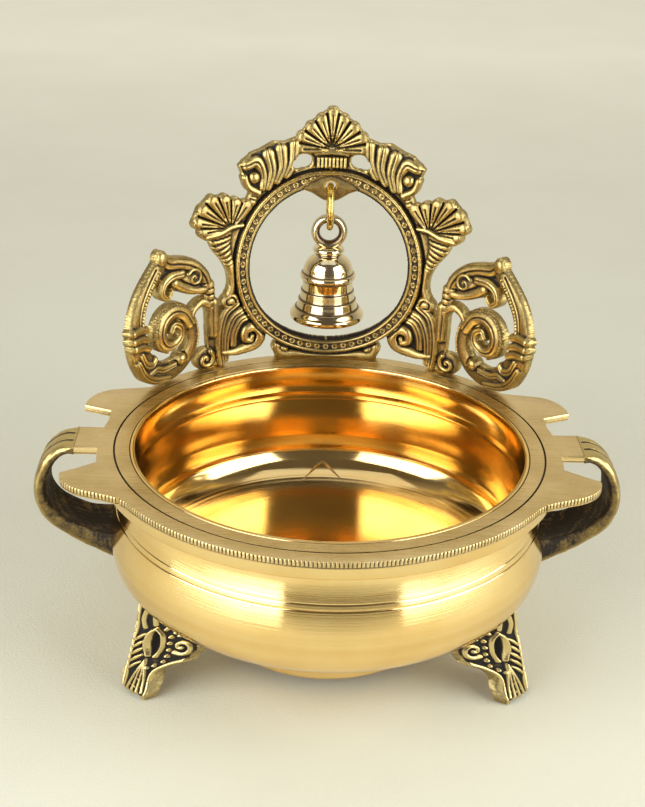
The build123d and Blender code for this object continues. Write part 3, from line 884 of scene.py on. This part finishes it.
def shoulder_leaves(r):
    """Leaves above the window's shoulder, curling round a bud."""
    r.sheet([(15, 90), (14.6, 105), (21, 102.6), (26, 103), (31.6, 100), (36, 98.6), (42, 93.4), (40, 88),
             (36.6, 81.4), (30, 82)], 1.1)
    for leaf in ([(20, 88, 1.9), (17.2, 94, 2.3), (16.6, 101.6, 2.5)],
                 [(24.4, 85.6, 1.9), (22, 92, 2.3), (22.6, 99.6, 2.8)],
                 [(28.4, 83, 1.8), (26.8, 90, 2.3), (28.4, 97.4, 2.9)],
                 [(31.2, 82.6, 1.5), (31, 89, 2.0), (33.8, 94.6, 2.6), (38.4, 93.6, 2.5)]):
        r.stroke(leaf, 1.8, 1.7, grooves=(0.0,), groove_depth=0.6)
    r.stroke([(33, 80.6, 1.6), (37.4, 83.4, 1.7), (39.4, 88, 1.6)], 1.7, 1.7)
    r.hollow((34.6, 88), (3.6, 3.6), 0.9)
    r.boss((35, 87.6), (2.7, 2.7), 1.4, 2.2)
    r.stroke([(34.4, 81, 2.2), (36, 77, 2.2)], 1.6, 1.2, ribs=(1.4, 0.7, 0, 1))


def crest(r):
    """Shell at the top and its tied collar."""
    petals(r, (0, 99.4), [(-16, 99.6), (-15, 105.6), (-10.6, 110.6), (-5.4, 114.6), (0, 118.4),
                          (5.4, 114.6), (10.6, 110.6), (15, 105.6), (16, 99.6)], 0.9, 2.3, 2.8)
    r.hollow((0, 101), (3.4, 3.6), 1.8)
    r.sheet([(-6.4, 91.3), (6.4, 91.3), (6.4, 95.6), (-6.4, 95.6)], 3.0)
    for u in np.arange(-5.1, 5.2, 1.7):
        r.engrave([(u, 91), (u, 93.5), (u, 96)], 0.9, 0.36)
    r.stroke([(-7, 97.3, 0.9), (0, 97.9, 1.0), (7, 97.3, 0.9)], 1.6, 1.0)


def window_band(r):
    """Beaded band round the open window, the bell's lug, and the gaps under the crest."""
    ring = np.hypot(r.u, r.v - WINDOW_V)
    band = np.interp(ring, [WINDOW_R, 38.4, 38.9, 39.2, 42.0, 42.3, 43.4, BAND_R],
                     [1.5, 2.9, 2.9, 2.2, 2.2, 3.0, 2.9, 2.0])
    around = np.arctan2(r.u, r.v - WINDOW_V) / tau * BEADS
    offset = (around - np.round(around)) * tau * BEAD_R / BEADS
    from_bead = np.hypot(offset, ring - BEAD_R)
    lug_shape = smooth_path([(-13, 81.6), (-8, 84.8), (0, 87.6), (8, 84.8), (13, 81.6), (8.4, 79.4),
                             (3.4, 76.3), (0, 75.6), (-3.4, 76.3), (-8.4, 79.4), (-13, 81.6)], 4)
    lug = polygon_distance(r.u, r.v, lug_shape[:-1])
    rings = 0.75 * np.exp(-((from_bead - 0.98) / 0.3) ** 2) + 0.55 * np.exp(-(from_bead / 0.34) ** 2)
    band = band + np.where((lug > -0.9) | (ring < 38.9), 0, rings)
    on_band = np.minimum(ring - WINDOW_R, BAND_R - ring)
    r.height = np.where(on_band > 0, band, r.height)
    r.height -= 1.2 * np.exp(-((ring - BAND_R - 0.6) / 0.5) ** 2)
    r.edge = np.where(ring < WINDOW_R, ring - WINDOW_R, np.maximum(r.edge, on_band))
    lug_face = 1.7 + 0.45 * np.clip(lug / 3, 0, 1)
    lug_face = np.where(ring > 41.8, np.maximum(lug_face, 1.9), lug_face)
    r.height = np.where(lug > 0, lug_face, r.height)
    r.edge = np.maximum(r.edge, lug)
    r.cut((12.4, 94), (3.9, 3.5))
    r.cut((14.8, 92.6), (2.8, 2.6))
    hole = np.hypot(r.u - LUG_HOLE[0], r.v - LUG_HOLE[1]) - LUG_HOLE[2]
    r.edge = np.minimum(r.edge, hole)


def build_arch(material):
    """Centre casting, drawn on one side and mirrored."""
    r = Relief((-65.96, 66.0), (-0.6, 118.6), 0.34)
    for add_part in (acanthus, side_fan, shoulder_leaves, crest, window_band):
        add_part(r)
    half = r.u.shape[0] // 2
    r.height[:half] = r.height[::-1][:half]
    r.edge[:half] = r.edge[::-1][:half]
    r.edge = np.minimum(r.edge, r.v + 0.05)
    points, faces, cavity = r.solid(on_rim, ARCH_BACK)
    return make_piece("openwork_arch", points, faces, material, "bowl_body", "antique_brass",
                      ["arch_frame"], sharp=70, cavity=cavity)


def c_scroll(r):
    """C-scroll that runs into a heavy coil, with its rope line, tied bands and wrapped leaves."""
    # the C: from the crown of the head down the outside and along the foot
    r.stroke([(84.6, 56.5, 3.4), (91.5, 50, 4.0), (98, 43, 4.6), (101.8, 35, 5.0), (102, 26, 5.6),
              (98.6, 17, 6.0), (92, 9.4, 5.9), (83.6, 5.4, 5.0), (75, 6.4, 4.6), (69, 11, 3.8),
              (66.8, 18, 3.3), (68.4, 25.6, 3.2), (72.6, 30.6, 3.4)], 1.2, 1.7)
    # the coil: a heavy roll with a beaded border
    r.stroke([(68.4, 25.6, 3.2), (72.4, 31, 3.5), (78.4, 32.8, 3.9), (84, 30.2, 4.0), (86.2, 24.8, 3.6),
              (83.8, 19.4, 3.2), (78.6, 17.8, 2.8), (74.4, 20.6, 2.5), (74.4, 25.2, 2.2),
              (78, 27, 1.9), (80, 24.4, 1.5)], 1.8, 2.4, grooves=(0.15,), groove_depth=0.6)
    r.stroke([(64.6, 13, 0.9), (63.8, 19, 0.9), (65.4, 26.6, 0.9), (69.8, 33, 0.9), (77, 36.2, 0.9),
              (85.4, 33.8, 0.9), (89.6, 27, 0.9), (88, 19, 0.9), (82, 15, 0.8)], 1.9, 1.1,
             ribs=(1.5, 0.3, 0, 1))
    # rope line inside the C and the bevelled edge that it follows
    r.stroke([(87, 53.6, 1.0), (93, 47, 1.0), (97.6, 40.4, 1.0), (99.4, 33.4, 1.0)], 2.1, 1.5,
             ribs=(1.5, 0.8, 0, 1))
    r.engrave([(88.8, 55.2), (95.2, 48.4), (100.2, 41.4), (102.2, 33.6)], 1.0, 0.42)
    # three tied bands, then leaves that wrap the foot of the C
    for v, u, tilt in ((31, 102.4, 0.8), (26.8, 102.2, 1.2), (22.8, 101, 1.6)):
        r.stroke([(u - 5.6, v - tilt, 2.0), (u - 1, v + 0.6, 2.4), (u + 4.6, v + tilt, 2.0)], 1.9, 2.2)
    for leaf in ([(100.6, 19.4, 1.9), (97.6, 14.6, 2.1), (93, 12.8, 2.0), (90.6, 14.8, 1.5)],
                 [(103, 16.4, 1.7), (98, 9.2, 2.1), (90.6, 4.6, 2.1), (82, 2.8, 1.8)],
                 [(94.6, 8.8, 1.5), (90, 9.6, 1.7), (85, 7.8, 1.7), (78, 8.2, 1.5)]):
        r.stroke(leaf, 1.9, 2.1, grooves=(0.1,), groove_depth=0.6)
    r.boss((74, 9.8), (3.0, 3.0), 2.2, 2.4)
    r.engrave([(70.6, 9), (72.6, 13), (76, 13.2)], 1.0, 0.4)


def beast_head(r):
    """Brow, cheek with a coiled eye, snout curl, jaw and crown."""
    r.sheet([(55, 36), (56, 43), (59.4, 50), (66, 55), (74, 57.4), (82, 60), (86, 62), (87, 56),
             (87, 51), (84, 48), (79, 45), (76, 42), (70, 39.6), (62, 37)], 1.0)
    r.stroke([(58.2, 40.5, 2.9), (60.6, 46.4, 3.1), (66, 51.6, 3.1), (73, 54.4, 2.9), (80, 56, 2.7),
              (84, 59, 2.6)], 1.6, 2.1, grooves=(-0.05,), groove_depth=0.75)
    r.boss((84.8, 59.4), (3.2, 3.6), 1.9, 2.0)
    r.boss((66.8, 45.6), (6.6, 5.6), 1.7, 1.4)
    r.stroke([(60, 39.6, 1.7), (65, 40, 2.0), (71, 42.4, 2.3), (76.4, 46, 2.4)], 1.7, 1.9)
    r.engrave([(60, 42.4), (66, 42.8), (72.6, 46.2)], 1.0, 0.4)
    r.stroke(coil((66, 46.4), 4.4, 1.5, 0.6, 0.95), 2.3, 1.7)
    r.stroke([(73, 49.6, 2.4), (79, 49.6, 2.2), (84, 47.2, 2.0), (85.2, 43, 1.8), (81.6, 40.6, 1.6),
              (79, 43.2, 1.3)], 1.8, 2.2, grooves=(0.0,), groove_depth=0.5)
    r.stroke([(57.4, 41, 2.9), (56.8, 35, 2.7), (56.4, 30, 2.6)], 1.7, 2.0, ribs=(2.8, 0.9, 0, 1))


def side_bar(r):
    """Upright bar with its rounded tongue, the hook leaf and the small scroll at its foot."""
    r.sheet([(51.2, 0), (57, 0), (58, 16), (58.4, 31), (52.4, 31.6)], 0.8)
    r.stroke([(55.4, 32, 3.0), (55.2, 25, 3.0), (55, 17.6, 2.7)], 1.8, 2.2, grooves=(0.3,), groove_depth=0.5)
    r.stroke([(57, 31.4, 2.3), (61, 33.6, 2.2), (65.4, 31.6, 2.0), (67.4, 28.6, 1.8)], 1.7, 1.9)
    r.boss((59.4, 5.4), (5.6, 5.4), 1.0, 0.7)
    r.stroke(coil((59.4, 5.4), 4.2, 1.3, 2.2, 1.3), 1.7, 1.7)


def scroll_relief():
    """Side casting of the arch, laid flat."""
    r = Relief((49.5, 110.5), (-0.6, 65.5), 0.24)
    for add_part in (c_scroll, beast_head, side_bar):
        add_part(r)
    r.edge = np.minimum(r.edge, r.v + 0.05)
    return r


def build_scrolls(material):
    """The two side castings, one the mirror image of the other."""
    points, faces, cavity = scroll_relief().solid(on_rim, SCROLL_BACK)
    for node, side in (("scroll_right", 1), ("scroll_left", -1)):
        shape = (points, faces) if side > 0 else mirrored(points, faces)
        make_piece("beast_" + node, *shape, material, "bowl_body", "antique_brass", [node],
                   sharp=70, cavity=cavity)


def dress_cad(node, material):
    """A CAD node whose shape is right keeps its mesh and gets the finished material."""
    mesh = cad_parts[node].data
    mesh.materials.clear()
    mesh.materials.append(material)


# ---- Studio -----------------------------------------------------------------------
def build_floor():
    """Plain paper sheet, large enough to fill the view."""
    mesh = bpy.data.meshes.new("paper_floor")
    near, far, side = -2.5, 6.0, 4.0
    mesh.from_pydata([(-side, near, 0), (side, near, 0), (side, far, 0), (-side, far, 0)], [],
                     [(0, 1, 2, 3)])
    mesh.materials.append(studio_paper())
    floor = bpy.data.objects.new("paper_floor", mesh)
    bpy.context.scene.collection.objects.link(floor)


def add_softbox(name, at, target, size, power):
    """Rectangular, slightly cool light that faces a target."""
    light = bpy.data.lights.new(name, "AREA")
    light.shape = "RECTANGLE"
    light.size, light.size_y = size
    light.energy = power
    light.color = (0.95, 0.98, 1.0)
    lamp = bpy.data.objects.new(name, light)
    lamp.location = at
    lamp.rotation_euler = (Vector(target) - Vector(at)).to_track_quat("-Z", "Y").to_euler()
    bpy.context.scene.collection.objects.link(lamp)


def build_world():
    """Pale surroundings behind the object and a dim room in front of it."""
    world = bpy.data.worlds.new("studio")
    world.use_nodes = True
    tree = world.node_tree
    direction = tree.nodes.new("ShaderNodeTexCoord").outputs["Generated"]
    split = tree.nodes.new("ShaderNodeSeparateXYZ")
    ramp = tree.nodes.new("ShaderNodeValToRGB")
    shift = tree.nodes.new("ShaderNodeMapRange")
    tree.links.new(direction, split.inputs[0])
    tree.links.new(split.outputs[1], shift.inputs[0])
    shift.inputs[1].default_value, shift.inputs[2].default_value = -1, 1
    tree.links.new(shift.outputs[0], ramp.inputs[0])
    ramp.color_ramp.elements[0].position, ramp.color_ramp.elements[1].position = 0.45, 0.9
    ramp.color_ramp.elements[0].color = (0.12, 0.10, 0.08, 1)
    ramp.color_ramp.elements[1].color = (0.70, 0.64, 0.50, 1)
    tree.links.new(ramp.outputs[0], tree.nodes["Background"].inputs[0])
    bpy.context.scene.world = world


def build_lights():
    """Two upright softboxes in front, standing on the paper, and a wide one overhead."""
    for name, turn in (("softbox_left", -50), ("softbox_right", 62)):
        at = (SOFTBOX_AWAY * sin(radians(turn)), -SOFTBOX_AWAY * cos(radians(turn)), SOFTBOX_H)
        add_softbox(name, at, (0, 0, SOFTBOX_H), (0.66, 0.82), 6.8)
    add_softbox("top_light", (0, 0.25, 1.7), (0, 0, 0.1), (1.5, 1.2), 4.5)


def build_camera():
    """Long lens a little above the rim, looking down at the bowl."""
    at = np.array((-21.6, -537.0, 265.5))
    yaw, pitch, roll = radians(1.914), radians(24.73), radians(1.88)
    forward = np.array((sin(yaw) * cos(pitch), cos(yaw) * cos(pitch), -sin(pitch)))
    level = np.array((cos(yaw), -sin(yaw), 0))
    upright = np.cross(level, forward)
    right = cos(roll) * level + sin(roll) * upright
    up = cos(roll) * upright - sin(roll) * level
    data = bpy.data.cameras.new("camera")
    data.lens = 64.7
    data.sensor_width = 36
    camera = bpy.data.objects.new("camera", data)
    turned = Matrix([list(row) for row in np.stack([right, up, -forward], axis=1)])
    camera.matrix_world = Matrix.Translation(place(at).tolist()) @ turned.to_4x4()
    bpy.context.scene.collection.objects.link(camera)
    bpy.context.scene.camera = camera


build_camera()
build_floor()
build_lights()
build_world()

polished = turned_brass("polished_brass", (0.93, 0.69, 0.31), (0.86, 0.58, 0.22), 0.105, 0.00002)
pale = turned_brass("bell_brass", (0.88, 0.76, 0.50), (0.74, 0.58, 0.32), 0.11, 0.00001, patina_and_shade=True)
antique = cast_brass("antique_brass", (0.60, 0.46, 0.18), (0.25, 0.17, 0.06), (0.012, 0.007, 0.003), 0.26)
# darker copy of the antique casting: painted shade for the feet under the belly and the clapper inside the
# bell
shaded_cast = cast_brass("dark_brass", (0.70, 0.56, 0.26), (0.14, 0.09, 0.035), (0.008, 0.005, 0.003), 0.3)
wire = wire_brass()

build_bowl(polished)
build_rim_plate(satin_brass())
build_handle("strap_handle_right", "handle_right", 1, antique)
build_handle("strap_handle_left", "handle_left", -1, antique)
build_feet(shaded_cast)
build_arch(antique)
build_scrolls(antique)
build_ring(wire)
build_bell(pale)
dress_cad("clapper", shaded_cast)
dress_cad("clapper_staple", wire)

bpy.context.scene.view_settings.view_transform = "Standard"
